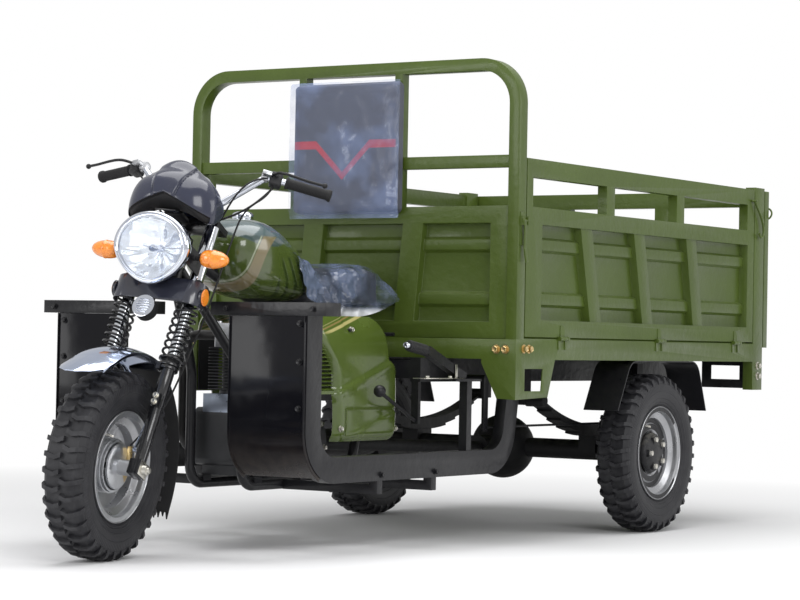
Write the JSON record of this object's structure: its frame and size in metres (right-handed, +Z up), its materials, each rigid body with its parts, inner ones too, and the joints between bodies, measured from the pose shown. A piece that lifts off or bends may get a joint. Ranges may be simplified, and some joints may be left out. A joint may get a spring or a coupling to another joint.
{
  "type": "cargo motor tricycle",
  "caption": "Green cargo motor tricycle with drop-sided load bed, front arch with backrest, air-cooled engine, coil-sprung fork, leg guards and knobbly tyres.",
  "frame": {"origin": "on the floor under the middle of the overall bounding box", "axes": "+X forward, +Y to the rider's left, +Z up"},
  "size_m": [3.5248, 1.365, 1.602],
  "materials": {
    "green_paint": "satin",
    "black_frame": "satin",
    "gloss_black": "gloss",
    "chrome": "polished",
    "cast_aluminium": "satin",
    "silver_rim": "satin",
    "tyre_rubber": "matte",
    "black_rubber": "matte",
    "dark_plastic": "matte",
    "saddle_vinyl": "satin",
    "orange_lens": "gloss",
    "clear_lens": "gloss",
    "black_engine": "satin"
  },
  "bodies": {
    "chassis": {"frame": "black_frame", "guard_rails": "black_frame", "leg_shields": "gloss_black", "bed_floor": "green_paint", "front_arch": "green_paint", "front_panel": "green_paint", "backrest": "saddle_vinyl", "seat": "saddle_vinyl", "fuel_tank": "green_paint", "side_covers": "green_paint", "engine_case": "cast_aluminium", "engine_cylinder": "black_engine", "exhaust": "black_engine", "intake": "dark_plastic", "rear_axle": "black_frame", "propeller_shaft": "black_frame", "leaf_springs": "black_frame", "rear_mudguards": "dark_plastic", "lamp_brackets": "black_frame", "gear_lever": "black_frame", "parking_brake": "black_frame", "foot_brake": "black_frame"},
    "steering": {"fork_yokes": "black_frame", "fork_tubes": "chrome", "fork_sliders": "gloss_black", "fork_springs": "gloss_black", "handlebar": "chrome", "controls": "black_rubber", "instrument_cowl": "dark_plastic", "headlight": "chrome", "headlight_lens": "clear_lens", "turn_signals": "orange_lens", "fork_cover": "dark_plastic", "horn": "black_frame", "front_fender": "chrome", "mud_flap": "black_rubber", "brake_plate": "cast_aluminium"},
    "front_wheel_body": {"front_tyre": "tyre_rubber", "front_wheel": "silver_rim"},
    "rear_left_wheel_body": {"rear_left_tyre": "tyre_rubber", "rear_left_wheel": "silver_rim"},
    "rear_right_wheel_body": {"rear_right_tyre": "tyre_rubber", "rear_right_wheel": "silver_rim"},
    "left_board_body": {"left_board": "green_paint"},
    "right_board_body": {"right_board": "green_paint"},
    "tailgate_body": {"tailgate": "green_paint"}
  },
  "joints": [
    {"name": "steering_turn", "type": "hinge", "parent": "chassis", "child": "steering", "pos_m": [1.44884, 0, 0.26691], "axis": [-0.4274, 0, 0.9041], "range_deg": [-46, 24]},
    {"name": "front_wheel_spin", "type": "hinge", "parent": "steering", "child": "front_wheel_body", "pos_m": [1.48434, 0.00763, 0.28369], "axis": [-0.1725, 0.9816, -0.0815], "continuous": true},
    {"name": "rear_left_wheel_spin", "type": "hinge", "parent": "chassis", "child": "rear_left_wheel_body", "pos_m": [-0.865, 0.595, 0.284], "axis": [0, 1, 0], "continuous": true},
    {"name": "rear_right_wheel_spin", "type": "hinge", "parent": "chassis", "child": "rear_right_wheel_body", "pos_m": [-0.865, -0.595, 0.284], "axis": [0, 1, 0], "continuous": true},
    {"name": "left_board_drop", "type": "hinge", "parent": "chassis", "child": "left_board_body", "pos_m": [-0.75, 0.673, 0.686], "axis": [-1, 0, 0], "range_deg": [0, 180]},
    {"name": "right_board_drop", "type": "hinge", "parent": "chassis", "child": "right_board_body", "pos_m": [-0.75, -0.673, 0.686], "axis": [1, 0, 0], "range_deg": [0, 180]},
    {"name": "tailgate_drop", "type": "hinge", "parent": "chassis", "child": "tailgate_body", "pos_m": [-1.748, 0, 0.666], "axis": [0, -1, 0], "range_deg": [0, 180]}
  ]
}
